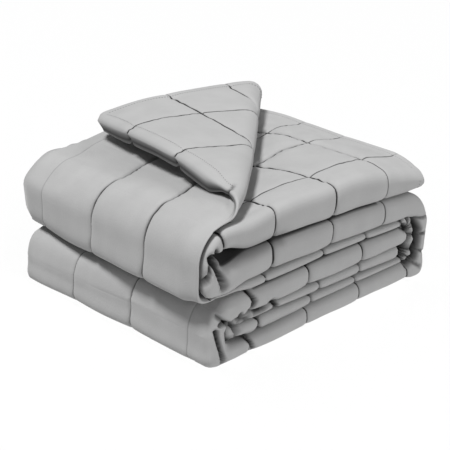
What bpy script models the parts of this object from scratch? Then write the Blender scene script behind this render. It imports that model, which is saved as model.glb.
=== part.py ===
"""Folded weighted blanket, one quilted sheet of cloth.

The sheet is folded in thirds across its width into a strip of three layers, the strip is
folded along its length into four legs, and the top layer's loose corner is turned back.
Metres, +Z up, the origin at the bottom centre of the folded stack. +X runs along the side
where the folded edges show, +Y runs along the rolled end.
"""

import math

import bmesh
import bpy
from mathutils import Vector

# Cloth
SQUARE = 0.115        # side of one quilting square
LAYER = 0.0168        # height one layer takes in the stack
LOFT = 0.0148         # thickness of one layer, the rest is the gap to its neighbour
HALF = LOFT / 2

# Section of the strip, across the blanket's width
DEPTH = 3.40 * SQUARE          # folded depth, near folds to far folds
BEND = LAYER / 2               # radius of the two folds between the thirds
NEAR_FOLD = BEND + HALF        # centre of the fold between the middle and outer thirds
FAR_FOLD = DEPTH - BEND - HALF # centre of the fold between the middle and top thirds
TOP_HEM = 0.03 * SQUARE        # where the top third's hem stops on the near side
OUTER_HEM = 3.20 * SQUARE      # where the outer third's hem stops on the far side

# Path of the strip, along the blanket's length
ROLL = 1.5 * LAYER             # radius of the middle layer in the two rolled ends
WRAP = 2.0 * LAYER             # corner radius of the middle layer at the wrapped end
LOW_ROLL_X = 2.5 * LAYER + HALF            # centre of the lower rolled end
HIGH_ROLL_X = LOW_ROLL_X - 0.10 * SQUARE   # centre of the upper rolled end
WRAP_X = 4.05 * SQUARE - 3 * LAYER - HALF  # centres of the wrapped end's two corners
INNER_END_X = 3.55 * SQUARE    # the end tucked inside the wrap
UPPER_END_X = 3.85 * SQUARE    # the end on top
MIDDLE_Z = 3 * LAYER + BEND + LAYER        # height of the middle layer in the tucked leg

# Corner turned back
CREASE_START = -0.12 * SQUARE  # where the crease leaves the near hem, from the top leg's start
CREASE_ANGLE = math.radians(39.7)
CREASE_RADIUS = 0.0178
CREASE_TURN = 184              # a little past half a turn, so the corner slopes down to its tip
REACH = 2.4 * SQUARE           # longest run of the turned corner from its crease

# Each run: straight length or bend radius, degrees turned (0 for straight), steps
SECTION_START = (TOP_HEM, -LAYER, 0.0)
SECTION = (
    (FAR_FOLD - TOP_HEM, 0, 3),
    (BEND, 180, 8),
    (FAR_FOLD - NEAR_FOLD, 0, 2),
    (BEND, -180, 8),
    (OUTER_HEM - NEAR_FOLD, 0, 2),
)
PATH_START = (INNER_END_X, MIDDLE_Z, 180.0)
PATH = (
    (INNER_END_X - LOW_ROLL_X, 0, 3),
    (ROLL, 180, 12),
    (WRAP_X - LOW_ROLL_X, 0, 3),
    (WRAP, 90, 6),
    (2 * LAYER, 0, 1),
    (WRAP, 90, 6),
    (WRAP_X - HIGH_ROLL_X, 0, 3),
    (ROLL, -180, 12),
    (UPPER_END_X - HIGH_ROLL_X, 0, 4),
)
CORNER_START = (0.0, 0.0, 0.0)
CORNER = (
    (CREASE_RADIUS, CREASE_TURN, 10),
    (REACH, 0, 1),
)


def run_length(run):
    """Length of one run of a path."""
    size, turn, _ = run
    if turn == 0:
        return size
    return size * math.radians(abs(turn))


def stops(runs):
    """Distances along a path where its mesh lines fall."""
    marks = [0.0]
    for run in runs:
        start = marks[-1]
        length = run_length(run)
        for step in range(1, run[2] + 1):
            marks.append(start + length * step / run[2])
    return marks


def step_on(place, run, distance):
    """Move a distance along one run and give the new place and heading."""
    across, along, heading = place
    size, turn, _ = run
    angle = math.radians(heading)
    if turn == 0:
        return (across + distance * math.cos(angle), along + distance * math.sin(angle), heading)
    side = math.copysign(1.0, turn)
    swept = distance / size * side
    centre_a = across - side * size * math.sin(angle)
    centre_b = along + side * size * math.cos(angle)
    across = centre_a + side * size * math.sin(angle + swept)
    along = centre_b - side * size * math.cos(angle + swept)
    return (across, along, heading + math.degrees(swept))


def walk(place, runs, distance):
    """Place and heading at a distance along a path."""
    left = distance
    for run in runs[:-1]:
        length = run_length(run)
        if left <= length:
            return step_on(place, run, left)
        place = step_on(place, run, length)
        left -= length
    return step_on(place, runs[-1], left)


def walk_facets(place, runs, distance):
    """Place and normal on the straight facets between a path's stops."""
    marks = stops(runs)
    for start, end in zip(marks, marks[1:]):
        if distance <= end:
            break
    share = (distance - start) / (end - start)
    ends = []
    for mark in (start, end):
        across, along, heading = walk(place, runs, mark)
        angle = math.radians(heading)
        ends.append(Vector((across, along, -math.sin(angle), math.cos(angle))))
    return ends[0].lerp(ends[1], share)


LEG_START = sum(run_length(run) for run in PATH[:-1])
TOP_WIDTH = run_length(SECTION[0])


def crease_distance(s, q):
    """How far a point of the flat top layer lies past the crease, towards its corner."""
    along = s - LEG_START - CREASE_START
    return along * math.sin(CREASE_ANGLE) - q * math.cos(CREASE_ANGLE)


def turn_back(s, q, w):
    """Where a point of the turned corner goes: carried round the crease from its foot there."""
    sin_c = math.sin(CREASE_ANGLE)
    cos_c = math.cos(CREASE_ANGLE)
    flap = crease_distance(s, q)
    x, z, heading = walk(PATH_START, PATH, s - flap * sin_c)
    turned = math.radians(heading)
    outward = Vector((-math.sin(turned), 0, math.cos(turned)))
    across = Vector((sin_c * math.cos(turned), -cos_c, sin_c * math.sin(turned)))
    foot = Vector((x, TOP_HEM + q + flap * cos_c, z)) + outward * LAYER
    p, rise, normal_p, normal_z = walk_facets(CORNER_START, CORNER, flap)
    return foot + across * (p + w * normal_p) + outward * (rise + w * normal_z)


def fold(s, q, w):
    """Where a point of the flat blanket goes: s along, q across, w through its thickness."""
    if q < TOP_WIDTH and crease_distance(s, q) > 0:
        return turn_back(s, q, w)
    y, offset, heading = walk(SECTION_START, SECTION, q)
    angle = math.radians(heading)
    x, z, heading = walk(PATH_START, PATH, s)
    turned = math.radians(heading)
    y += w * math.sin(angle)
    offset -= w * math.cos(angle)
    return Vector((x + offset * math.sin(turned), y, z - offset * math.cos(turned)))


def flat_sheet():
    """The blanket laid flat as a closed slab, with mesh lines wherever it will bend."""
    sheet = bmesh.new()
    s_marks = stops(PATH)
    q_marks = stops(SECTION)
    faces = {}
    for side in (-HALF, HALF):
        faces[side] = [[sheet.verts.new((s, q, side)) for q in q_marks] for s in s_marks]
    rows = range(len(s_marks) - 1)
    columns = range(len(q_marks) - 1)
    for side, grid in faces.items():
        for i in rows:
            for j in columns:
                corners = [grid[i][j], grid[i + 1][j], grid[i + 1][j + 1], grid[i][j + 1]]
                if side < 0:
                    corners.reverse()
                sheet.faces.new(corners)
    low = faces[-HALF]
    high = faces[HALF]
    for i in rows:
        for j, order in ((0, 1), (len(columns), -1)):
            rim = [low[i][j], low[i + 1][j], high[i + 1][j], high[i][j]]
            sheet.faces.new(rim[::order])
    for j in columns:
        for i, order in ((0, -1), (len(rows), 1)):
            rim = [low[i][j], low[i][j + 1], high[i][j + 1], high[i][j]]
            sheet.faces.new(rim[::order])
    return sheet


def add_crease_lines(sheet):
    """Cut mesh lines across the top layer's corner at every stop of its turned shape."""
    normal = Vector((math.sin(CREASE_ANGLE), -math.cos(CREASE_ANGLE), 0))
    start = Vector((LEG_START + CREASE_START, 0, 0))
    for mark in stops(CORNER)[:-1]:
        parts = list(sheet.verts) + list(sheet.edges) + list(sheet.faces)
        bmesh.ops.bisect_plane(sheet, geom=parts, dist=1e-6,
                               plane_co=start + normal * mark, plane_no=normal)


def make_material():
    """Plain grey brushed cloth."""
    cloth = bpy.data.materials.new("grey_cloth")
    cloth.use_nodes = True
    shader = cloth.node_tree.nodes["Principled BSDF"]
    shader.inputs["Base Color"].default_value = (0.40, 0.40, 0.40, 1.0)
    shader.inputs["Roughness"].default_value = 0.9
    return cloth


def make_blanket():
    """Fold the flat slab into the stack and centre it on the origin."""
    sheet = flat_sheet()
    add_crease_lines(sheet)
    bmesh.ops.triangulate(sheet, faces=sheet.faces[:])
    for vert in sheet.verts:
        vert.co = fold(*vert.co)
    x_span = [vert.co.x for vert in sheet.verts]
    y_span = [vert.co.y for vert in sheet.verts]
    z_span = [vert.co.z for vert in sheet.verts]
    middle = Vector(((min(x_span) + max(x_span)) / 2, (min(y_span) + max(y_span)) / 2, min(z_span)))
    for vert in sheet.verts:
        vert.co -= middle
        if abs(vert.co.z) < 1e-6:
            vert.co.z = 0.0
    mesh = bpy.data.meshes.new("blanket")
    sheet.to_mesh(mesh)
    sheet.free()
    mesh.materials.append(make_material())
    blanket = bpy.data.objects.new("blanket", mesh)
    bpy.context.scene.collection.objects.link(blanket)


for old in list(bpy.data.objects):
    bpy.data.objects.remove(old, do_unlink=True)
make_blanket()
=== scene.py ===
"""Quilted weighted blanket, folded into a stack with one corner turned back."""

import math

import bpy
import numpy as np
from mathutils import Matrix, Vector


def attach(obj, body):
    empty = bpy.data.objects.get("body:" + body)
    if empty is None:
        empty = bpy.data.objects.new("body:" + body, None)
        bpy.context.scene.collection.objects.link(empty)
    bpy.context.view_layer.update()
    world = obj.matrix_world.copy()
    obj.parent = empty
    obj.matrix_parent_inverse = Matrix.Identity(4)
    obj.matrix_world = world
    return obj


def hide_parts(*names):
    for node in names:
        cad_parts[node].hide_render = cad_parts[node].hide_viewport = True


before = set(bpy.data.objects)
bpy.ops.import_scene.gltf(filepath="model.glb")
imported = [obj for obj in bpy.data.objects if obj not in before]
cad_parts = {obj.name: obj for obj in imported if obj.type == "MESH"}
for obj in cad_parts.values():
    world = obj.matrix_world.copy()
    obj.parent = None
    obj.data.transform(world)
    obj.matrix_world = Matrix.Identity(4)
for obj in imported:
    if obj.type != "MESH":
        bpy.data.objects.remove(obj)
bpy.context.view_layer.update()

bl_info = {
    "name": "Folded weighted blanket",
    "version": (1, 0, 0),
    "blender": (4, 5, 0),
    "location": "View3D > Sidebar > Blanket",
    "description": "Builds a quilted blanket folded into a stack, and a plain studio around it",
    "category": "Object",
}

SQUARES_LONG = 17
SQUARES_WIDE = 11
STEPS = 56            # mesh steps along a square's side where the creases are smallest
SHOWN = 2             # step, in mesh steps, where the cloth shows
PARTLY = 4            # step, in mesh steps, on the back and the right side
HIDDEN = 8            # step, in mesh steps, where the cloth is hidden
RIM_STEPS = 5         # faces round the thickness of the hem's edge

# Where the seams across the strip fall, in squares from the top third's near hem.
# The section runs over the top third, round the far fold, back over the middle third,
# round the near fold and out over the outer third.
SECTION_SEAMS = (0.0, 1.12, 2.10, 3.11, 3.775, 4.70, 5.395, 6.285, 7.111, 8.111, 9.111, 9.881)

# Where each seam along the strip falls: the leg or turn it is on, how far along it, from
# 0 to 1, for the top third and for the fold between the other two thirds.
TUCKED, LOW_ROLL, BOTTOM, WRAP_LOW, WRAP_RISE, WRAP_HIGH, UPPER, HIGH_ROLL, TOP = range(9)
LENGTH_SEAMS = (
    # top third                near fold
    ((TUCKED, 0.000), (TUCKED, 0.000)),
    ((TUCKED, 0.282), (TUCKED, 0.285)),
    ((TUCKED, 0.529), (TUCKED, 0.606)),
    ((TUCKED, 0.785), (TUCKED, 0.926)),
    ((BOTTOM, 0.135), (LOW_ROLL, 0.500)),
    ((BOTTOM, 0.427), (BOTTOM, 0.074)),
    ((BOTTOM, 0.696), (BOTTOM, 0.395)),
    ((WRAP_LOW, 0.100), (BOTTOM, 0.715)),
    ((UPPER, 0.021), (WRAP_LOW, 0.200)),
    ((UPPER, 0.248), (WRAP_RISE, 0.600)),
    ((UPPER, 0.500), (UPPER, 0.158)),
    ((UPPER, 0.804), (UPPER, 0.469)),
    ((HIGH_ROLL, 0.150), (UPPER, 0.779)),
    ((HIGH_ROLL, 0.850), (HIGH_ROLL, 0.900)),
    ((TOP, 0.179), (TOP, 0.202)),
    ((TOP, 0.439), (TOP, 0.486)),
    ((TOP, 0.747), (TOP, 0.770)),
    ((TOP, 0.981), (TOP, 0.992)),
)

# How strongly stretches of seam are drawn in, where they aren't at the full strength of 1:
# the face of the cloth, 1 for the front and -1 for the back; whether the seam runs across
# the strip or along it; which seam; the squares it is so between; and the strength.
ACROSS, ALONG = range(2)
SEAM_STRENGTHS = (
    # near side: shallow over the folds between the middle and the outer third
    *((-1, ACROSS, line, 7.1, 7.9, strength) for line, strength in (
        (5, 0.55), (6, 0.45), (7, 0.55), (8, 0.50), (9, 0.05), (10, 0.30), (11, 0.60))),
    *((-1, ACROSS, line, 7.2, 7.9, strength) for line, strength in ((16, 0.30), (15, 0.80))),
    # upper roll: no seam across it where it is fullest, and those along it shallow
    (1, ACROSS, 11, 0.0, 3.6, 0.30),
    *((1, ACROSS, line, 0.0, 3.6, 0.00) for line in (12, 13)),
    (1, ALONG, 1, 11.3, 12.4, 0.55),
    (1, ALONG, 2, 11.3, 12.4, 0.40),
    (1, ALONG, 3, 11.3, 17.0, 0.10),
    # lower roll: no seam across it, and those along it shallow
    (-1, ACROSS, 4, 7.1, 11.0, 0.00),
    (-1, ALONG, 8, 2.5, 5.4, 0.15),
    (-1, ALONG, 9, 2.5, 5.4, 0.55),
    (-1, ALONG, 10, 2.5, 5.4, 0.30),
    # wrap on the right
    (-1, ACROSS, 9, 7.9, 11.0, 0.45),
    # bare top
    (-1, ALONG, 7, 13.0, 17.0, 0.30),
    (-1, ALONG, 6, 16.2, 17.0, 0.35),
    (-1, ALONG, 5, 16.2, 17.0, 0.45),
    # turned corner: no seam across its foot
    *((face, ACROSS, 14, 0.0, 3.6, 0.00) for face in (-1, 1)),
    *((-1, ACROSS, line, 0.2, 3.2, 0.50) for line in (16, 15)),
    (-1, ALONG, 1, 13.8, 15.7, 0.55),
)

# Heights of the layers' boundaries, in layers: as folded, and as the weight above has
# pressed them at the far end of the rolls and along the near side, at its left, in its
# middle and at its right.
PRESSED = (
    # folded  far   left  middle  right
    (0.0, 0.00, 0.00, 0.00, 0.00),
    (2.0, 1.60, 1.48, 1.86, 1.90),
    (3.0, 2.40, 2.88, 2.70, 2.50),
    (4.0, 3.20, 3.58, 3.72, 3.80),
    (6.0, 5.00, 5.50, 5.70, 5.50),
    (7.0, 6.00, 6.40, 6.50, 6.20),
    (9.0, 8.60, 9.05, 8.92, 8.60),
    (12.0, 11.45, 12.00, 12.00, 12.00),
)
PRESSED_X = (0.70, 2.20, 3.65)      # where the last three columns stand, in squares

# Rows of stitches that show: the face, whether the row runs across the strip or along it,
# which line it follows, and the squares it runs between.
STITCHED = (
    # turned corner
    *((-1, ACROSS, line, 0.17, 3.2) for line in (15, 16)),
    *((-1, ALONG, line, 13.8, 16.83) for line in (1, 2)),
    (-1, ACROSS, 16.84, 0.12, 3.0),
    (-1, ALONG, 0.08, 13.9, 16.83),
    # bare top, and its hem on the right
    *((-1, ACROSS, line, 3.9, 7.4) for line in (14, 15, 16)),
    *((-1, ALONG, line, 13.6, 16.83) for line in (4, 5, 6, 7)),
    (-1, ACROSS, 16.84, 3.9, 7.8),
    # upper roll
    *((1, ALONG, line, 11.3, 14.6) for line in (1, 2)),
    # near side
    *((-1, ACROSS, line, 7.25, 7.75) for line in (2, 5, 6, 7, 8, 10, 11, 12, 13, 14, 15, 16)),
    # lower roll, wrap and back
    *((-1, ALONG, line, 3.0, 5.2) for line in (9, 10)),
    *((-1, ALONG, line, 7.4, 10.2) for line in (8, 9, 10)),
    (-1, ACROSS, 9, 7.7, 10.8),
)

# Creases drawn into the near side where the rolls and the wrap end, in millimetres: how
# deep, how wide to each side, and the line they follow, as distances along and up the side.
# shade is also painted along each crease, darker the deeper it is
NEAR_CREASES = (
    # upper roll: the hollow at its middle and the tongue below it
    (30, 3.6, ((0, 158), (7, 147), (15, 132), (22, 115))),
    (20, 4.2, ((-1, 160), (12, 158), (27, 155))),
    (12, 2.1, ((-3, 154), (-4, 141), (-10, 127))),
    (10, 2.2, ((6, 169), (10, 161))),
    # foot of the turned corner
    (12, 2.0, ((28, 238), (33, 227), (46, 215))),
    # lower roll: crumpled round the tucked layers
    (16, 2.4, ((17, 64), (25, 65), (44, 53), (54, 39), (57, 31))),
    (16, 2.4, ((11, 56), (16, 38), (21, 24), (26, 7))),
    (7, 2.0, ((14, 76), (25, 66))),
    (9, 2.4, ((38, 35), (49, 29), (78, 25))),
    (9, 2.0, ((68, 28), (78, 17), (83, 7))),
    (10, 2.2, ((54, 67), (62, 57), (76, 51))),
    (13, 2.6, ((89, 58), (96, 58), (106, 57))),
    (12, 2.4, ((111, 67), (123, 61), (130, 52))),
    (10, 2.2, ((71, 91), (82, 76), (79, 70), (69, 66))),
    # wrap: hollow round the gathered hem, and gathered across its outer layer
    (20, 4.0, ((427, 98), (441, 78), (440, 57), (436, 35), (419, 28))),
    (12, 2.2, ((398, 93), (415, 82), (420, 69))),
    (12, 2.2, ((401, 60), (416, 48), (410, 39))),
    (6, 1.8, ((458, 98), (445, 98), (429, 101))),
    (6, 1.8, ((456, 70), (446, 71), (435, 70))),
    (7, 1.8, ((458, 38), (447, 44), (428, 52))),
    (6, 2.0, ((452, 16), (442, 22), (421, 35))),
)

# Where the upper roll's hollow opens between the layers: a line along which shade is
# painted on the cloth, as distances along and up the near side, in millimetres.
HOLLOW_PAINTED_SHADE = ((8, 148), (36, 151), (72, 148), (104, 150), (128, 151))


# ------------------------ sizes and colours

class BlanketSizes(bpy.types.PropertyGroup):
    """Sizes of the cloth and of its folds."""

    square: bpy.props.FloatProperty(
        name="Square", description="Side of one quilting square",
        default=0.115, unit="LENGTH")
    layer: bpy.props.FloatProperty(
        name="Layer", description="Height that one layer takes in the stack",
        default=0.0168, unit="LENGTH")
    loft: bpy.props.FloatProperty(
        name="Loft", description="Thickness of a filled square where layers press on it",
        default=0.0160, unit="LENGTH")
    seam: bpy.props.FloatProperty(
        name="Seam", description="Thickness of the cloth where it is stitched through",
        default=0.0030, unit="LENGTH")
    hem: bpy.props.FloatProperty(
        name="Hem", description="Width of the turned and stitched hem",
        default=0.0130, unit="LENGTH")
    stitch: bpy.props.FloatProperty(
        name="Stitch", description="Length of one stitch",
        default=0.0030, unit="LENGTH")


class BlanketColours(bpy.types.PropertyGroup):
    """Colours of the cloth and of the studio, as sRGB hex values."""

    cloth: bpy.props.StringProperty(
        name="Cloth", description="Grey of the brushed cloth", default="#989898")
    shade: bpy.props.StringProperty(
        name="Nap", description="Grey of the cloth where its nap lies the other way", default="#8C8C8C")
    # painted shade: this dark grey draws each seam's line, partly its thread and partly painted shade of
    # its groove, and it is also the shade painted deep in the near side's creases and gaps
    seam: bpy.props.StringProperty(
        name="Seam", description="Dark grey of the sunk line along a seam", default="#202020")
    thread: bpy.props.StringProperty(
        name="Thread", description="Grey of the quilting thread", default="#5C5C5C")
    floor: bpy.props.StringProperty(
        name="Floor", description="White of the floor and the backdrop", default="#D6D6D6")


# Numbers of a Mix node's colour sockets.
MIX_FIRST, MIX_SECOND, MIX_RESULT = 6, 7, 2


# ------------------------ small helpers

def smooth(value, low, high):
    """0 below low, 1 above high, and an even S-curve between."""
    t = np.clip((value - low) / (high - low), 0.0, 1.0)
    return t * t * (3 - 2 * t)


def near(value, centre, reach):
    """1 at the centre, falling evenly to 0 at the reach on both sides."""
    return 1 - smooth(np.abs(value - centre), 0.0, reach)


def ripple(x, y, length, seed):
    """Gentle uneven waves over a surface, about -1 to 1, with the given wavelength."""
    total = np.zeros_like(x)
    for k in range(5):
        turn = seed * 1.7 + k * 2.399
        stretch = 1 + 0.37 * np.sin(seed * 3.1 + k * 1.3)
        wave = 2 * math.pi * stretch / length
        phase = seed * 5.3 + k * 1.9
        total = total + np.sin(wave * (x * np.cos(turn) + y * np.sin(turn)) + phase)
    return total / 2.6


def squared(turn, power=2.7):
    """How much further out a flattened bend stands than a round one, at a turn round it."""
    return (np.abs(np.cos(turn)) ** power + np.abs(np.sin(turn)) ** power) ** (-1 / power)


def gap_to_line(x, y, line):
    """Distance of each point from a line given as a row of places."""
    gap = np.full_like(x, np.inf)
    for (x_0, y_0), (x_1, y_1) in zip(line, line[1:]):
        length = math.hypot(x_1 - x_0, y_1 - y_0)
        share = ((x - x_0) * (x_1 - x_0) + (y - y_0) * (y_1 - y_0)) / length ** 2
        share = np.clip(share, 0.0, 1.0)
        gap = np.minimum(gap, np.hypot(x - x_0 - share * (x_1 - x_0), y - y_0 - share * (y_1 - y_0)))
    return gap


# ------------------------ folding

def run_length(run):
    """Length of one run of a path: (straight length or bend radius, degrees turned)."""
    size, turn = run
    return size if turn == 0 else size * math.radians(abs(turn))


def trace(place, runs):
    """A path sampled finely: distance, two coordinates and heading in radians."""
    a, b, heading = place[0], place[1], math.radians(place[2])
    rows = [(-0.5, a - 0.5 * math.cos(heading), b - 0.5 * math.sin(heading), heading)]
    distance = 0.0
    rows.append((distance, a, b, heading))
    for run in runs:
        size, turn = run
        steps = 1 if turn == 0 else 60
        length = run_length(run)
        bend = math.radians(turn)
        for step in range(1, steps + 1):
            if turn == 0:
                place_a = a + length * math.cos(heading)
                place_b = b + length * math.sin(heading)
                now = heading
            else:
                side = math.copysign(1.0, turn)
                now = heading + bend * step / steps
                place_a = a + side * size * (math.sin(now) - math.sin(heading))
                place_b = b - side * size * (math.cos(now) - math.cos(heading))
            rows.append((distance + length * step / steps, place_a, place_b, now))
        a, b, heading = rows[-1][1:]
        distance += length
    rows.append((distance + 0.5, a + 0.5 * math.cos(heading), b + 0.5 * math.sin(heading), heading))
    return np.array(rows)


def along(path, distance):
    """Both coordinates and the heading at each distance along a sampled path."""
    return [np.interp(distance, path[:, 0], path[:, column]) for column in (1, 2, 3)]


class Folding:
    """The paths that the flat blanket is bent along, worked out from its sizes."""

    def __init__(self, sizes):
        square, layer = sizes.square, sizes.layer
        half = 0.0074     # half the thickness of the solid's cloth
        bend = layer / 2
        self.sizes = sizes
        self.layer = layer
        self.square = square
        near_fold = bend + half
        far_fold = 3.40 * square - bend - half
        top_hem = 0.03 * square
        outer_hem = 3.20 * square
        roll, wrap = 1.5 * layer, 2.0 * layer
        low_x = 2.5 * layer + half
        high_x = low_x - 0.10 * square
        wrap_x = 4.05 * square - 3 * layer - half
        inner_end, upper_end = 3.55 * square, 3.85 * square
        section = ((far_fold - top_hem, 0), (bend, 180), (far_fold - near_fold, 0),
                   (bend, -180), (outer_hem - near_fold, 0))
        legs = ((inner_end - low_x, 0), (roll, 180), (wrap_x - low_x, 0), (wrap, 90),
                (2 * layer, 0), (wrap, 90), (wrap_x - high_x, 0), (roll, -180),
                (upper_end - high_x, 0))
        self.section = trace((top_hem, -layer, 0.0), section)
        self.path = trace((inner_end, 4 * layer + bend, 180.0), legs)
        self.starts = np.concatenate(([0.0], np.cumsum([run_length(run) for run in legs])))
        self.lengths = [run_length(run) for run in legs]
        self.top_width = far_fold - top_hem
        self.low_x, self.high_x, self.wrap_x = low_x, high_x, wrap_x
        self.middle = Vector(((4.05 * square + high_x - low_x) / 2, 1.70 * square, 0.0))
        self.crease_start = self.starts[TOP] - 0.10 * square
        self.crease_angle = math.radians(40.9)
        self.corner = trace((0.0, 0.0, 0.0), ((0.0150, 174.0), (0.040, 0), (0.5, 8.0), (0.9, 4.5),
                                                   (2.0 * square, 0)))
        self.flattened = 0.24
        self.seams_q = self.extend(np.array(SECTION_SEAMS) * square)
        self.seams_top = self.extend(np.array([self.at(*row[0]) for row in LENGTH_SEAMS]))
        self.seams_fold = self.extend(np.array([self.at(*row[1]) for row in LENGTH_SEAMS]))

    def at(self, leg, share):
        """Distance along the strip of a point on one of its legs or turns."""
        return self.starts[leg] + share * self.lengths[leg]

    @staticmethod
    def extend(marks):
        """Seam places with one more at each end, so that a hem can be rounded past them."""
        first = 2 * marks[0] - marks[1]
        last = 2 * marks[-1] - marks[-2]
        return np.concatenate(([first], marks, [last]))

    def measure(self, a, b):
        """Distances along and across the strip, in metres, of places given in squares."""
        q = np.interp(b, np.arange(-1, len(self.seams_q) - 1), self.seams_q)
        drift = smooth(b, 0.0, 0.7) * (1 - smooth(b, 3.0, 3.7))
        drift = drift * smooth(a, 11.6, 12.4) * (1 - smooth(a, 13.1, 14.1))
        low_drift = smooth(b, 7.6, 8.2) * (1 - smooth(b, 10.2, 10.8))
        low_drift = low_drift * smooth(a, 2.6, 3.2) * (1 - 0.4 * smooth(a, 3.2, 4.0))
        low_drift = low_drift * (1 - smooth(a, 5.0, 6.0))
        q = q - 0.20 * self.square * (drift + low_drift)
        marks = np.arange(-1, len(self.seams_top) - 1)
        share = smooth(b, 3.6, 5.6)
        s_top = np.interp(a, marks, self.seams_top)
        s_top = s_top - 0.13 * self.square * near(a, 16.0, 0.9) * near(b, 1.9, 1.0)
        s_fold = np.interp(a, marks, self.seams_fold)
        return s_top + share * (s_fold - s_top), q

    def past_crease(self, a, b):
        """How far a place lies past the crease of the turned corner, or less than 0."""
        s, q = self.measure(a, b)
        past = (s - self.crease_start) * math.sin(self.crease_angle) - q * math.cos(self.crease_angle)
        return np.where(b < 3.3, past, -1.0)

    def place(self, a, b, w):
        """Fold points of the flat blanket: a and b in squares, w out of its plane in metres."""
        s, q = self.measure(a, b)
        y, offset, lean = along(self.section, q)
        x, z, heading = along(self.path, s)
        outer = np.where(b < 5.4, w > 0, w < 0) * np.sign(w)
        w = w + outer * (squared(lean) - 1) * (self.layer / 2 + np.abs(w))
        out = offset - w * np.cos(lean)
        points = np.stack((x + out * np.sin(heading), y + w * np.sin(lean),
                           z - out * np.cos(heading)), axis=-1)
        sin_c, cos_c = math.sin(self.crease_angle), math.cos(self.crease_angle)
        flap = self.past_crease(a, b)
        turned = flap > 0
        if turned.any():
            d, q_t, s_t, w_t = flap[turned], q[turned], s[turned], w[turned]
            x, z, heading = along(self.path, s_t - d * sin_c)
            zero = np.zeros_like(x)
            outward = np.stack((-np.sin(heading), zero, np.cos(heading)), axis=-1)
            across = np.stack((sin_c * np.cos(heading), zero - cos_c, sin_c * np.sin(heading)), axis=-1)
            y = 0.03 * self.square + q_t + d * cos_c
            foot = np.stack((x, y, z), axis=-1) + outward * self.layer
            p, rise, tilt = along(self.corner, d)
            pressed = (1 - smooth(q_t, 0.0, 1.3 * self.square)) * (1 - smooth(d, 0.04, 0.12))
            rise *= 1 - self.flattened * pressed
            fuller = smooth(q_t, 0.8 * self.square, 2.3 * self.square) * (1 - smooth(d, 0.04, 0.14))
            rise *= 1 + 0.20 * fuller
            points[turned] = (foot + across * (p - w_t * np.sin(tilt))[:, None]
                              + outward * (rise + w_t * np.cos(tilt))[:, None])
        return points


def open_roll(folding, x, y, z):
    """Near its end the upper roll is hollow, and the thin hem round it is tucked in."""
    layer, square = folding.layer, folding.square
    centre_x, centre_z = folding.high_x, 9 * layer
    left = np.minimum(x - centre_x, 0.0)
    up = z - centre_z
    radius = np.maximum(np.hypot(left, up), 1e-6)
    opened = np.interp(radius / layer, (0.0, 2.0, 3.0, 3.4), (0.55, 2.35, 2.90, 3.4)) * layer
    share = 1 - smooth(y, 0.0, 0.35 * square)
    share *= 1 - smooth(x, centre_x, centre_x + 0.35 * square)
    share *= radius < 3.4 * layer
    push = share * (opened - radius) / radius
    return x + push * left, y, z + push * up


def flatten_rolls(folding, x, y, z):
    """Weight squares the lower roll and the underside of the upper one and of the wrap."""
    reach = folding.low_x
    far = smooth(y, 0.15, 0.38)
    for centre_x, centre_z, side, way, sag, sharp in (
            (folding.low_x, 3 * folding.layer, -1, 1, 0.014, 3.5),
            (folding.low_x, 3 * folding.layer, -1, -1, 0.004, 3.5),
            (folding.high_x, 9 * folding.layer, -1, 1, 0.013 - 0.005 * far, 3.5),
            (folding.high_x, 9 * folding.layer, -1, -1, -0.004 * far, 1.2),
            (folding.wrap_x, 3 * folding.layer, 1, 1, 0.023, 3.5)):
        out, down = side * (x - centre_x), way * (centre_z - z)
        radius = np.hypot(out, down)
        turn = np.arctan2(out, down)
        here = (turn > 0) & (turn < np.pi / 2) & (radius < 1.3 * reach)
        push = np.where(here, sag * (radius / reach) ** 2 * np.abs(np.sin(2 * turn)) ** sharp, 0)
        x = x + side * push * np.sin(turn)
        z = z - way * push * np.cos(turn)
    return x, y, z


def skew_top(folding, x, y, z):
    """The rolls lie a little askew, each its own way."""
    upper = smooth(z, 5.6 * folding.layer, 6.6 * folding.layer)
    share = y / (3.4 * folding.square)
    shift = upper * (-0.011 + 0.022 * share) - (1 - upper) * 0.011 * smooth(share, 0.2, 1.1)
    return x + (1 - smooth(x, 0.02, 0.22)) * shift, y, z


def beyond_flap(folding, x, y):
    """How far a place on the top lies beyond the crease of the turned corner."""
    angle = folding.crease_angle
    return (x - 0.22 * folding.square) * math.sin(angle) - y * math.cos(angle)


def puff_top(folding, x, y, z):
    """The top leg stands high where nothing lies on it, with soft shoulders at its ends."""
    layer = folding.layer
    bare = smooth(beyond_flap(folding, x, y), 0.0, 0.07)
    bare = bare * (1 - 0.65 * smooth(x, 0.345, 0.43))
    crest = np.exp(-((x - 0.167) / 0.141) ** 2 - ((y - 0.036) / 0.085) ** 2)
    crest = crest * smooth(x, -0.04, 0.06)
    rise = smooth(z, 9 * layer, 11 * layer)
    # it rounds down to its near edge on the right, and lies lower far back on the left
    shoulder = (0.012 + 0.008 * smooth(x, 0.40, 0.46)) * smooth(x, 0.24, 0.38)
    shoulder = shoulder * np.clip(1 - y / 0.060, 0, 1) ** 1.6
    laid = 0.0065 * smooth(y, 0.15, 0.38) * (1 - smooth(x, 0.16, 0.28))
    laid = laid * (1 - smooth(z, 12.0 * layer, 12.6 * layer))
    puff = (0.007 + 0.008 * smooth(x, 0.21, 0.30)) * bare + 0.010 * crest
    return x, y, z + rise * (puff - shoulder - laid)


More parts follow.
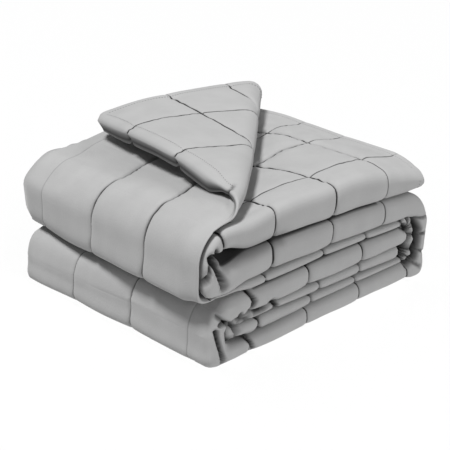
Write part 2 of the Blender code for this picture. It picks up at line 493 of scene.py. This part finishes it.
def press_layers(folding, x, y, z):
    """Lower layers are pressed thinner than upper ones along the near side and in the rolls."""
    heights = np.array(PRESSED) * folding.layer
    far, *near = [np.interp(z, heights[:, 0], heights[:, k] - heights[:, 0]) for k in (1, 2, 3, 4)]
    left, middle, right = np.array(PRESSED_X) * folding.square
    first = 1 - smooth(x, left, middle)
    last = smooth(x, middle, right)
    pressed = first * near[0] + (1 - first - last) * near[1] + last * near[2]
    share = 1 - smooth(y, 0.10, 0.26)
    rolled = (1 - smooth(x, 0.06, 0.20)) * smooth(y, 0.0, 0.30)
    under_flap = 1 - smooth(z, 12.5 * folding.layer, 13.2 * folding.layer)
    back = smooth(y, 0.16, 0.37) * smooth(z, 9 * folding.layer, 11 * folding.layer)
    shift = share * (1 - rolled) * pressed + rolled * far * under_flap
    return x, y, z + shift + 0.006 * back * smooth(x, 0.08, 0.22)


def crease_near_side(folding, x, y, z):
    """The near ends of the rolls and of the wrap are drawn into creases and hollows."""
    depth = np.zeros_like(y)
    for deep, wide, line in NEAR_CREASES:
        gap = gap_to_line(1000 * x, 1000 * z, line)
        depth = np.maximum(depth, deep / 1000 * np.exp(-(gap / wide) ** 2))
    return x, y + depth * (1 - smooth(y, 0.014, 0.034)), z


def rest_on_floor(folding, x, y, z, skin=0.004):
    """Nothing reaches below the floor: what would is flattened against it."""
    return x, y, np.where(z < skin, skin * np.exp((z - skin) / skin), z)


def settle(folding, points):
    """Move the neat folds to where weight and handling have put them."""
    x, y, z = points.T.copy()
    for move in (open_roll, flatten_rolls, skew_top, puff_top, press_layers, crease_near_side,
                 rest_on_floor):
        x, y, z = move(folding, x, y, z)
    return np.stack((x, y, z), axis=-1)


# ------------------------ quilting

def gather(t, pull=0.7):
    """Even steps over a square drawn towards its seams, or to its middle if pull is negative."""
    return t - pull * np.sin(2 * np.pi * t) / (2 * np.pi)


def draw_in(place, count, inset):
    """Squeeze the outer half squares, so that the cloth's faces end at the inset."""
    gap = np.minimum(place, count - place)
    shift = inset * np.maximum(1 - 2 * gap, 0.0)
    return np.where(place < count / 2, place + shift, place - shift)


def round_corners(a, b, inset, reach=0.13):
    """The flat cloth with its four corners eased from square to round, and the ways out of it."""
    way_a = np.where(a > SQUARES_LONG / 2, 1, -1)
    way_b = np.where(b > SQUARES_WIDE / 2, 1, -1)
    u = np.clip(1 - (np.minimum(a, SQUARES_LONG - a) - inset) / reach, 0, 1)
    v = np.clip(1 - (np.minimum(b, SQUARES_WIDE - b) - inset) / reach, 0, 1)
    round_u, round_v = u * np.sqrt(1 - v * v / 2), v * np.sqrt(1 - u * u / 2)
    a = a - way_a * reach * (u - round_u)
    b = b - way_b * reach * (v - round_v)
    return a, b, way_a * round_u, way_b * round_v


def seam_rise(distance):
    """How far the filling has lifted the cloth, 0 to 1, at a distance from a seam."""
    return 1 - 0.62 * np.exp(-(distance / 0.0022) ** 1.2) - 0.20 * np.exp(-distance / 0.0120)


def seam_strengths(a, b, side):
    """How deep the nearest seam each way is drawn in, and how deep the hem's stitching is."""
    line_a, line_b = np.round(a), np.round(b)
    drawn = [np.ones_like(a), np.ones_like(a)]
    for face, way, line, first, last, strength in SEAM_STRENGTHS:
        nearest, place = ((line_a, b), (line_b, a))[way]
        share = smooth(place, first - 0.25, first) * (1 - smooth(place, last, last + 0.25))
        share = share * ((side == face) & (nearest == line))
        drawn[way] += share * (strength - drawn[way])
    drawn[0] *= (line_a > 0) & (line_a < SQUARES_LONG)
    drawn[1] *= (line_b > 0) & (line_b < SQUARES_WIDE)
    drawn[1] *= 1 - 0.85 * smooth(a, SQUARES_LONG - 0.19, SQUARES_LONG - 0.13)
    return drawn


def pucker(along, distance, square, seed):
    """Small gathers where a seam draws the cloth in, dying out within a few centimetres."""
    drift = 0.6 * np.sin(2 * np.pi * along / 0.071 + seed)
    drift = drift + 0.4 * np.sin(2 * np.pi * along / 0.043 - 2 * seed)
    wave = np.sin(2 * np.pi * along / 0.0205 + 2.4 * drift + 1.7 * seed)
    reach = 0.010 + 0.006 * np.sin(2 * np.pi * along / 0.057 + 3 * seed)
    strength = 0.55 + 0.45 * np.sin(2 * np.pi * along / (1.37 * square) + 5 * seed)
    return wave * strength * np.exp(-distance / reach)


def lift(folding, a, b, side, points):
    """How far each face stands off the middle of the cloth."""
    sizes = folding.sizes
    square = sizes.square
    across = np.abs(a - np.round(a)) * square
    down = np.abs(b - np.round(b)) * square
    end = np.minimum(a, SQUARES_LONG - a) * square
    edge = np.minimum(b, SQUARES_WIDE - b) * square
    across = np.where(end < 0.5 * square, np.abs(end - sizes.hem), across)
    down = np.where(edge < 0.5 * square, np.abs(edge - sizes.hem), down)
    deep_a, deep_b = seam_strengths(a, b, side)
    inner = side < 0
    hem_a = 0.10 * inner * (a > 8)
    low, high = sizes.seam / 2, sizes.loft / 2
    swell = np.sqrt(np.abs(np.sin(np.pi * a) * np.sin(np.pi * b)))
    x, y = points[:, 0], points[:, 1]
    # the bare top and the turned corner lie loose, and the rest is pressed
    bare = smooth(beyond_flap(folding, x, y), 0.0, 0.03)
    bare = bare * (inner & (b > 3.9) & (b < 7.3)) * smooth(a, 13.6, 14.2)
    turned = smooth(folding.past_crease(a, b), 0.02, 0.06)
    loose = np.maximum(bare, turned * inner)
    soft = 1 - 0.45 * loose
    rise_a = 1 - np.where(end < 0.5 * square, hem_a, deep_a * soft) * (1 - seam_rise(across))
    rise_b = 1 - np.where(edge < 0.5 * square, 0.0, deep_b * soft) * (1 - seam_rise(down))
    # fullness of single parts: upper roll, bare top, turned corner, near folds, lower roll and wrap
    crown = 0.0010 * (~inner & (b < 3.4)) * smooth(a, 11.3, 11.9)
    crown = crown + 0.0012 * bare + 0.0018 * inner * turned
    crown = crown + inner * (0.0032 * near(b, 7.48, 0.17) - 0.0012 * near(b, 7.48, 0.7))
    crown = crown + 0.0010 * inner * (b > 8) * (near(a, 4.2, 1.4) + near(a, 8.9, 1.6))
    valley = np.maximum(deep_a * np.exp(-(across / 0.013) ** 1.4), deep_b * np.exp(-(down / 0.013) ** 1.4))
    flat_a, flat_b = a * square, b * square
    creases = deep_a * pucker(flat_b, across, square, 1.0 + np.round(a) + side)
    creases = creases + deep_b * pucker(flat_a, down, square, 2.5 + np.round(b) + side)
    slack = ripple(flat_a + 0.3 * flat_b, flat_b - 0.5 * flat_a, 0.13, 3 + side)
    risen = rise_a * rise_b + loose * (np.minimum(rise_a, rise_b) - rise_a * rise_b)
    half = low + (high - low) * risen + crown * swell
    half = half + 0.0009 * creases + 0.0006 * slack * swell
    half = half - 0.0024 * np.maximum(bare, 0.7 * turned * inner) * valley
    half = half - 0.0012 * (1 - smooth(b, 0.1, 0.3)) * (1 - turned)
    # the hem is thin round the upper roll, and plump along the turned corner's edge
    thin = 0.65 * (1 - smooth(b, 0.0, 0.30)) * smooth(a, 11.3, 11.7) * (1 - smooth(a, 14.0, 14.3))
    plump = turned * (1 - smooth(edge, 0.05, 0.09)) * smooth(end, 0.01, 0.06) * inner
    half = half + plump * (0.0028 - 0.0044 * (1 - smooth(edge, 0.001, 0.013)))
    foot = 1 - smooth(folding.past_crease(a, b), 0.09, 0.16)
    under = (0.0035 + 0.0035 * foot) * turned * (1 - smooth(edge, 0.05, 0.09)) * ~inner
    half = half + under * smooth(end, 0.0, 0.10)
    below = 0.002 * (~inner) * turned
    return np.maximum(half * (1 - thin), 0.0008) + below


def sunk(folding, a, b, side, points):
    """How much of the dark grey is painted on a place as shade, 0 to 1, in the near side's creases and
    gaps.
    """
    x, y, z = 1000 * points.T
    down = np.zeros_like(x)
    # painted shade along the near side's creases, darker the deeper they are, and over the upper roll's
    # hollow
    for deep, wide, line in NEAR_CREASES:
        gap = gap_to_line(x, z, line)
        down = np.maximum(down, min(deep / 9, 1) * np.minimum(1.6 * np.exp(-(gap / wide / 1.15) ** 2), 1))
    down = np.maximum(down, 0.55 * np.exp(-(gap_to_line(x, z, HOLLOW_PAINTED_SHADE) / 10) ** 2))
    down *= 1 - smooth(y, 35, 60)
    # painted shade between the layers behind the near folds, inside the tucked hem and in its pleats
    between = smooth(np.abs(b - 7.48) * folding.square, 0.0130, 0.0160) * (side < 0)
    between *= np.where(b < 7.48, a < 13.3, (a > 10.1) | (a < 2.9)) * (b > 6) * (b < 9)
    hem = smooth(b * folding.square, 0.009, 0.015) * (b < 1) * (a < 11.3)
    share, wave = gathers(a, b)
    pleats = share * (0.5 + 0.5 * wave) ** 2
    return np.maximum(np.maximum(down, between), np.maximum(hem, pleats))


def gathers(a, b):
    """Where the hem is gathered inside the wrap, 0 to 1, and its waves there, -1 to 1."""
    share = smooth(a, 6.95, 7.15) * (1 - smooth(a, 7.95, 8.15)) * (1 - smooth(b, 0.03, 0.28))
    return share, np.sin(2 * np.pi * (a - 7) / 0.145 + 0.9 * np.sin(9 * a))


def grain(a, b, side):
    """Mesh step for a place on one face: fine where it shows, coarse where it is hidden."""
    hem = (b < 0.3) | (b > 10.7) | (a < 0.3) | (a > 16.7)
    if side > 0:
        finest = (b < 0.3) & (a > 6.9) & (a < 8.1)
        shown = ((a > 11.5) & (a < 14.3) & (b < 3.6)) | (b < 0.3)
        partly = ((a > 11.3) & (b < 4.2)) | ((b > 2.9) & (b < 4.3)) | hem
    else:
        ends = ((a > 3.2) & (a < 4.9)) | ((a > 8.2) & (a < 10.0)) | ((a > 12.0) & (a < 13.8))
        finest = (b > 7.2) & (b < 7.8) & ends
        shown = (a > 13.3) & (b < 7.9)
        shown |= (b > 7.1) & (b < 7.9)
        shown |= (a > 2.9) & (a < 5.2) & (b > 7)
        shown |= (b < 0.3) & (a > 13)
        partly = ((a > 7.3) & (a < 10.6) & (b > 7)) | hem
    return np.where(finest, 1, np.where(shown, SHOWN, np.where(partly, PARTLY, HIDDEN)))


def leaf_squares(side):
    """Split one face of the flat blanket into mesh squares, small where it shows."""
    rows, columns = SQUARES_LONG * STEPS, SQUARES_WIDE * STEPS
    size = np.full((rows // HIDDEN, columns // HIDDEN), HIDDEN)
    i, j = np.meshgrid(np.arange(size.shape[0]), np.arange(size.shape[1]), indexing="ij")
    for di in (0.02, 0.98):
        for dj in (0.02, 0.98):
            step = grain((i + di) * HIDDEN / STEPS, (j + dj) * HIDDEN / STEPS, side)
            size = np.minimum(size, step)
    leaves = []
    for i in range(size.shape[0]):
        for j in range(size.shape[1]):
            step = size[i, j]
            for di in range(0, HIDDEN, step):
                for dj in range(0, HIDDEN, step):
                    leaves.append((i * HIDDEN + di, j * HIDDEN + dj, step))
    return leaves


def stitch_mesh(folding):
    """Every stitch of the rows that show: a grain of thread lying in its seam."""
    sizes = folding.sizes
    square = sizes.square
    pitch = sizes.stitch * 1.5
    ends = []
    for face, way, line, first, last in STITCHED:
        count = int((last - first) * square / pitch)
        middle = first + (np.arange(count) + 0.5) * pitch / square
        for turn in (-0.5, 0.0, 0.5):
            pair = (np.full(count, float(line)), middle + turn * sizes.stitch / square)
            ends.append(np.stack((*(pair if way == ACROSS else pair[::-1]), np.full(count, face),
                                  np.full(count, turn)), axis=-1))
    a, b, side, turn = np.concatenate(ends).T
    middle = folding.place(a, b, np.zeros_like(a))
    half = lift(folding, a, b, side, middle)
    low = settle(folding, folding.place(a, b, side * (half - 0.0010)))
    high = settle(folding, folding.place(a, b, side * (half + 0.0008)))
    up = high - low
    up /= np.linalg.norm(up, axis=1)[:, None]
    surface = low + 0.0010 * up
    first, centre, last = surface[turn < 0], surface[turn == 0], surface[turn > 0]
    lean = up[turn == 0]
    side_way = np.cross(last - first, lean)
    side_way /= np.linalg.norm(side_way, axis=1)[:, None]
    thick = sizes.stitch / 6
    ring = [centre + thick * side_way, centre + 1.5 * thick * lean, centre - thick * side_way,
            centre - thick * lean]
    points = np.stack((first - 0.3 * thick * lean, *ring, last - 0.3 * thick * lean), axis=1)
    straight = np.linalg.norm(last - first, axis=1)
    points = points[(straight > 0.6 * sizes.stitch) & (straight < 1.6 * sizes.stitch)]
    faces = []
    for start in range(0, 6 * len(points), 6):
        for k in range(4):
            here, there = start + 1 + k, start + 1 + (k + 1) % 4
            faces += [(start, here, there), (start + 5, there, here)]
    return points.reshape(-1, 3) - np.array(folding.middle), faces


def lay_out_mesh():
    """The flat blanket's closed mesh, before its points have places.

    Gives each point's mesh steps along and across, its face and its level round the edge;
    the faces as rings of point numbers; and the side of the cloth that each face is on.
    """
    rows, columns = SQUARES_LONG * STEPS, SQUARES_WIDE * STEPS
    index = {}
    keys = []
    faces = []
    face_side = []

    def vertex(key):
        if key not in index:
            index[key] = len(keys)
            keys.append(key)
        return index[key]

    leaves = {side: leaf_squares(side) for side in (1, -1)}
    used = {}
    for side in (1, -1):
        used[side] = np.zeros((rows + 1, columns + 1), bool)
        for i, j, step in leaves[side]:
            used[side][i, j] = used[side][i + step, j] = True
            used[side][i, j + step] = used[side][i + step, j + step] = True
    border = [(i, 0) for i in range(rows)] + [(rows, j) for j in range(columns)]
    border += [(i, columns) for i in range(rows, 0, -1)] + [(0, j) for j in range(columns, 0, -1)]
    border = [place for place in border if used[1][place] or used[-1][place]]
    for side in (1, -1):
        corners = used[side]
        corners[tuple(np.array(border).T)] = True
        for i, j, step in leaves[side]:
            ring = []
            for x, y, way_x, way_y in ((i, j, 1, 0), (i + step, j, 0, 1),
                                       (i + step, j + step, -1, 0), (i, j + step, 0, -1)):
                ring += [(x + k * way_x, y + k * way_y) for k in range(step)]
            ring = [p for p in ring if corners[p]]
            if side < 0:
                ring.reverse()
            faces.append([vertex((*p, side, 0)) for p in ring])
            face_side.append(side)
    for here, there in zip(border, border[1:] + border[:1]):
        for step in range(RIM_STEPS):
            ring = []
            for point, level in ((here, step), (there, step), (there, step + 1), (here, step + 1)):
                face = {0: 1, RIM_STEPS: -1}.get(level, 0)
                ring.append(vertex((*point, face, 0 if face else level)))
            ring.reverse()
            faces.append(ring)
            face_side.append(1 if step < RIM_STEPS / 2 else -1)
    return np.array(keys), faces, face_side


def cloth_mesh(folding):
    """The whole blanket as one closed mesh: points in the flat, then folded."""
    sizes = folding.sizes
    keys, faces, face_side = lay_out_mesh()
    i, j, side, level = keys.T
    a_cell, a_part = np.divmod(i, STEPS)
    b_cell, b_part = np.divmod(j, STEPS)
    a = a_cell + gather(a_part / STEPS)
    b = b_cell + gather(b_part / STEPS, np.where(b_cell == 7, -0.45, 0.7))
    inset = 0.006 / sizes.square
    a = draw_in(a, SQUARES_LONG, inset)
    b = draw_in(b, SQUARES_WIDE, inset)
    a, b, out_a, out_b = round_corners(a, b, inset)
    angle = np.where(level > 0, np.pi / 2 - np.pi * level / RIM_STEPS,
                     np.where(side > 0, np.pi / 2, -np.pi / 2))
    middle = folding.place(a, b, np.zeros_like(a))
    side = np.where(level > RIM_STEPS / 2, -1, np.where(level > 0, 1, side))
    half = lift(folding, a, b, side, middle)
    front = lift(folding, a, b, np.ones_like(side), middle)
    back = lift(folding, a, b, -np.ones_like(side), middle)
    mean = (front + back) / 2
    rim = squared(angle)
    # along the turned corner's near edge the hem is tucked into a groove
    tucked = (j == 0) * smooth(folding.past_crease(a, b), 0.00, 0.03)
    # at the corner's foot the cloth is pinched
    pinch = (a > 13) * np.exp(-((a - 13.80 - 1.2 * b) / 0.030) ** 2) * (1 - smooth(b, 0.08, 0.16))
    angle = angle + tucked * np.select([level == 1, level == 2, level == 3], [0.2, 0.45, 0.2])
    push = rim * mean * np.cos(angle) / sizes.square
    push *= (1 - 0.5 * tucked * ((level == 1) | (level == 2))) * (1 - 0.7 * pinch)
    half = half - 0.0030 * pinch * (side < 0)
    weave, wave = gathers(a, b)
    points = folding.place(a + out_a * push, b + out_b * push,
                           rim * half * np.sin(angle) + 0.0042 * weave * wave)
    points = settle(folding, points)
    flat = np.stack((a, b), axis=-1)
    marks = {}
    for face in (1, -1):
        this = np.full_like(side, face)
        # painted shade: the dark grey in the near side's creases and gaps, and at the corner's pinched foot
        depth = sunk(folding, a, b, this, points)
        depth = np.maximum(depth, 0.9 * pinch ** 2)
        if face > 0:
            # painted shade along the turned corner's tucked edge: two dark lines with a grey strip between
            groove = np.select([level == 2, level == 1, level == 0], [0.9, 0.2, 0.9])
            depth = np.maximum(depth, tucked * groove)
        # painted shade: seam lines are coloured more boldly on the bare top, the turned corner and the
        # near folds, standing in for the shade in their grooves
        open_face = (face < 0) * smooth(a, 13.4, 13.8) * (1 - smooth(b, 7.2, 7.45))
        near_face = 0.9 * (face < 0) * near(b, 7.48, 0.5)
        groove_shade_boost = np.stack((1 + near_face + open_face * (1.2 + 4.5 * (b > 3.5)), 1 + 1.2 * open_face), axis=-1)
        marks[face] = {"seam_strength": np.stack(seam_strengths(a, b, this), axis=-1) ** 0.6 * groove_shade_boost,
                       "sunk": np.stack((depth, depth), axis=-1)}
    return points - np.array(folding.middle), faces, flat, marks, face_side


def make_mesh(name, points, faces, flat=None, marks=None, face_side=None):
    """A mesh object from points and rings of point numbers.

    flat gives each point's place on the unfolded cloth, in squares. It is kept as a UV map,
    with the back of the cloth laid out below the front. Further maps keep the marks that the
    material follows on each face of the cloth.
    """
    mesh = bpy.data.meshes.new(name)
    mesh.from_pydata(points.tolist(), [], faces)
    mesh.update()
    if flat is not None:
        layout = mesh.uv_layers.new(name="unfolded")
        corners = np.concatenate([np.array(ring) for ring in faces])
        sides = np.repeat(face_side, [len(ring) for ring in faces])
        pairs = flat[corners] * np.stack((np.ones(len(sides)), sides), axis=-1)
        layout.data.foreach_set("uv", pairs.ravel())
        for mark in marks[1]:
            layer = mesh.uv_layers.new(name=mark)
            pairs = np.where(sides[:, None] > 0, marks[1][mark][corners], marks[-1][mark][corners])
            layer.data.foreach_set("uv", pairs.ravel())
    mesh.polygons.foreach_set("use_smooth", [True] * len(mesh.polygons))
    piece = bpy.data.objects.new(name, mesh)
    bpy.context.scene.collection.objects.link(piece)
    return piece


# ------------------------ materials

def linear(hex_value):
    """An sRGB hex value as linear red, green, blue and alpha."""
    channels = [int(hex_value[k:k + 2], 16) / 255 for k in (1, 3, 5)]
    return [c / 12.92 if c <= 0.04045 else ((c + 0.055) / 1.055) ** 2.4 for c in channels] + [1.0]


def add_node(tree, kind, settings=(), links=()):
    """One node with its settings and links; a socket is given by its name or its number."""
    node = tree.nodes.new(kind)
    for key, value in dict(settings).items():
        if isinstance(key, int) or key in node.inputs:
            node.inputs[key].default_value = value
        else:
            setattr(node, key, value)
    for key, output in dict(links).items():
        tree.links.new(output, node.inputs[key])
    return node


def brushed_microfibre(sizes, colours):
    """Woven polyester microfibre with a brushed face, quilted with a grey thread.

    The nap scatters light, so the cloth is matt with a faint sheen at grazing angles. Up
    close the weave shows through it. Each seam is a fine dark line, partly painted shade of
    its groove, and shade is painted deep in the near side's creases and gaps.
    """
    cloth = bpy.data.materials.new("brushed_microfibre")
    cloth.use_nodes = True
    tree = cloth.node_tree
    shader = tree.nodes["Principled BSDF"]
    shader.inputs["Roughness"].default_value = 0.88
    shader.inputs["IOR"].default_value = 1.46
    shader.inputs["Specular IOR Level"].default_value = 0.25
    shader.inputs["Sheen Weight"].default_value = 0.12
    shader.inputs["Sheen Roughness"].default_value = 0.45

    layout = add_node(tree, "ShaderNodeUVMap", {"uv_map": "unfolded"}).outputs["UV"]
    metres = add_node(tree, "ShaderNodeVectorMath",
                      {"operation": "SCALE", "Scale": sizes.square}, {0: layout})
    metres = metres.outputs["Vector"]

    # brushed nap: soft patches 40 mm across and fine flecks of 3 mm
    patches = add_node(tree, "ShaderNodeTexNoise", {"Scale": 1 / 0.040, "Detail": 2.0}, {"Vector": metres})
    flecks = add_node(tree, "ShaderNodeTexNoise", {"Scale": 1 / 0.003, "Detail": 2.0}, {"Vector": metres})
    # plain weave: its threads are 0.3 mm apart, and are drawn 1.5 mm apart so that they show
    bands = [add_node(tree, "ShaderNodeTexWave",
                      {"bands_direction": axis, "Scale": 2 * math.pi / 20 / 0.0015, "Distortion": 0.8,
                       "Detail": 1.0, "Detail Scale": 2.0}, {"Vector": metres}).outputs["Fac"]
             for axis in ("X", "Y")]
    weave = add_node(tree, "ShaderNodeMath", {"operation": "MULTIPLY"}, {0: bands[0], 1: bands[1]})

    # seams: dark within a millimetre of the lines between squares, which wander a little;
    # the line is partly the thread and partly painted shade of the seam's groove
    wander = add_node(tree, "ShaderNodeTexNoise", {"Scale": 5.0, "Detail": 1.0}, {"Vector": layout})
    drawn = add_node(tree, "ShaderNodeVectorMath", {"operation": "MULTIPLY_ADD", 1: (0.02, 0.02, 0.0)},
                     {0: wander.outputs["Color"], 2: layout}).outputs["Vector"]
    drawn = add_node(tree, "ShaderNodeVectorMath", {"operation": "ADD", 1: (-0.01, -0.01, 0.0)},
                     {0: drawn}).outputs["Vector"]
    strength = add_node(tree, "ShaderNodeUVMap", {"uv_map": "seam_strength"}).outputs["UV"]
    strength = add_node(tree, "ShaderNodeSeparateXYZ", (), {"Vector": strength})
    lines = []
    for axis, width, height in (("X", 1, 100), ("Y", 100, 1)):
        line = add_node(tree, "ShaderNodeTexBrick",
                        {"offset": 0.0, "Scale": 1.0, "Mortar Size": 0.0020 / sizes.square,
                         "Mortar Smooth": 1.0, "Brick Width": width, "Row Height": height},
                        {"Vector": drawn})
        line = add_node(tree, "ShaderNodeMath", {"operation": "MULTIPLY", "use_clamp": True},
                        {0: line.outputs["Fac"], 1: strength.outputs[axis]})
        lines.append(line.outputs["Value"])
    seam = add_node(tree, "ShaderNodeMath", {"operation": "MAXIMUM"}, {0: lines[0], 1: lines[1]})
    seam = seam.outputs["Value"]
    # painted shade: the same dark grey deep in the creases and gaps of the near side, at the
    # turned corner's foot and along its tucked edge; a colour, which stays there under any light
    depth = add_node(tree, "ShaderNodeUVMap", {"uv_map": "sunk"}).outputs["UV"]
    depth = add_node(tree, "ShaderNodeSeparateXYZ", (), {"Vector": depth}).outputs["X"]
    dark = add_node(tree, "ShaderNodeMath", {"operation": "MAXIMUM"}, {0: seam, 1: depth}).outputs["Value"]

    tone = add_node(tree, "ShaderNodeMix", {"data_type": "RGBA", MIX_FIRST: linear(colours.shade),
                                            MIX_SECOND: linear(colours.cloth)},
                    {0: patches.outputs["Fac"]})
    tone = add_node(tree, "ShaderNodeMix", {"data_type": "RGBA", MIX_SECOND: linear(colours.seam)},
                    {0: dark, MIX_FIRST: tone.outputs[MIX_RESULT]})
    tree.links.new(tone.outputs[MIX_RESULT], shader.inputs["Base Color"])

    height = add_node(tree, "ShaderNodeMath", {"operation": "MULTIPLY_ADD", 1: 0.35},
                      {0: weave.outputs["Value"], 2: flecks.outputs["Fac"]}).outputs["Value"]
    height = add_node(tree, "ShaderNodeMath", {"operation": "SUBTRACT"}, {0: height, 1: seam})
    height = height.outputs["Value"]
    bump = add_node(tree, "ShaderNodeBump", {"Strength": 0.5, "Distance": 0.0005}, {"Height": height})
    tree.links.new(bump.outputs["Normal"], shader.inputs["Normal"])
    return cloth


def polyester_thread(colours):
    """Twisted polyester thread, a darker grey than the cloth.

    Its filaments lie close and even, so it is smoother than the nap and catches a soft
    light along each stitch.
    """
    thread = bpy.data.materials.new("polyester_thread")
    thread.use_nodes = True
    shader = thread.node_tree.nodes["Principled BSDF"]
    shader.inputs["Base Color"].default_value = linear(colours.thread)
    shader.inputs["Roughness"].default_value = 0.55
    shader.inputs["Specular IOR Level"].default_value = 0.35
    return thread


# ------------------------ operators

class BLANKET_OT_cloth(bpy.types.Operator):
    """Fold the quilted cloth into its stack."""

    bl_idname = "blanket.cloth"
    bl_label = "Fold the cloth"

    def execute(self, context):
        folding = Folding(context.scene.blanket_sizes)
        cloth = make_mesh("quilted_blanket", *cloth_mesh(folding))
        thread = make_mesh("seam_stitches", *stitch_mesh(folding))
        thread.data.materials.append(polyester_thread(context.scene.blanket_colours))
        cloth.data.materials.append(brushed_microfibre(context.scene.blanket_sizes,
                                                       context.scene.blanket_colours))
        for piece in (cloth, thread):
            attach(piece, "root")
            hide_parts("blanket")
        return {"FINISHED"}


class BLANKET_OT_studio(bpy.types.Operator):
    """Set out the floor, the lights and the camera."""

    bl_idname = "blanket.studio"
    bl_label = "Set out the studio"

    def execute(self, context):
        scene = context.scene
        colours = scene.blanket_colours
        corners = np.array([(-6, -6, 0), (6, -6, 0), (6, 6, 0), (-6, 6, 0)])
        floor = make_mesh("floor", corners, [(0, 1, 2, 3)])
        paint = bpy.data.materials.new("matt_white_paint")
        paint.use_nodes = True
        shader = paint.node_tree.nodes["Principled BSDF"]
        shader.inputs["Base Color"].default_value = linear(colours.floor)
        shader.inputs["Roughness"].default_value = 0.9
        floor.data.materials.append(paint)
        world = bpy.data.worlds.new("studio")
        world.use_nodes = True
        world.node_tree.nodes["Background"].inputs["Color"].default_value = (1, 1, 1, 1)
        world.node_tree.nodes["Background"].inputs["Strength"].default_value = 0.30
        scene.world = world
        lit = {}
        for name, members in (
                ("cloth", [bpy.data.objects["quilted_blanket"], bpy.data.objects["seam_stitches"]]),
                ("backdrop", [floor])):
            lit[name] = bpy.data.collections.new("lit_" + name)
            for member in members:
                lit[name].objects.link(member)
        for name, place, spread, power, on in (
                ("key_light", (-0.74, 0.16, 1.82), 13, 4.5, "cloth"),
                ("fill_light", (0.20, -0.88, 0.36), 25, 1.8, "cloth"),
                ("backdrop_light", (0.00, 0.00, 2.00), 20, 3.75, "backdrop")):
            light = bpy.data.lights.new(name, "SUN")
            light.angle = math.radians(spread)
            light.energy = power
            lamp = bpy.data.objects.new(name, light)
            lamp.location = place
            lamp.rotation_euler = (-Vector(place)).to_track_quat("-Z", "Y").to_euler()
            lamp.light_linking.receiver_collection = lit[on]
            lamp.light_linking.blocker_collection = lit[on]
            scene.collection.objects.link(lamp)
        camera = bpy.data.cameras.new("camera")
        camera.lens = 89.57
        camera.sensor_width = 36
        view = bpy.data.objects.new("camera", camera)
        view.location = (-1.1110, -1.0581, 0.7222)
        view.rotation_euler = [math.radians(angle) for angle in (67.290, -2.379, -45.300)]
        scene.collection.objects.link(view)
        scene.camera = view
        scene.view_settings.view_transform = "Standard"
        return {"FINISHED"}


class BLANKET_PT_panel(bpy.types.Panel):
    """Sizes, colours and steps of the blanket."""

    bl_label = "Blanket"
    bl_idname = "BLANKET_PT_panel"
    bl_space_type = "VIEW_3D"
    bl_region_type = "UI"
    bl_category = "Blanket"

    def draw(self, context):
        for group in (context.scene.blanket_sizes, context.scene.blanket_colours):
            for name in group.__annotations__:
                self.layout.prop(group, name)
        for operator in OPERATORS:
            self.layout.operator(operator.bl_idname)


OPERATORS = (BLANKET_OT_cloth, BLANKET_OT_studio)
CLASSES = (BlanketSizes, BlanketColours, *OPERATORS, BLANKET_PT_panel)


def register():
    """Add the classes and the scene's settings."""
    for item in CLASSES:
        bpy.utils.register_class(item)
    bpy.types.Scene.blanket_sizes = bpy.props.PointerProperty(type=BlanketSizes)
    bpy.types.Scene.blanket_colours = bpy.props.PointerProperty(type=BlanketColours)


def unregister():
    """Take the classes and the scene's settings away again."""
    del bpy.types.Scene.blanket_colours
    del bpy.types.Scene.blanket_sizes
    for item in reversed(CLASSES):
        bpy.utils.unregister_class(item)


def main():
    """Build everything."""
    register()
    bpy.ops.blanket.cloth()
    bpy.ops.blanket.studio()
    bpy.context.view_layer.update()


if __name__ == "__main__":
    main()
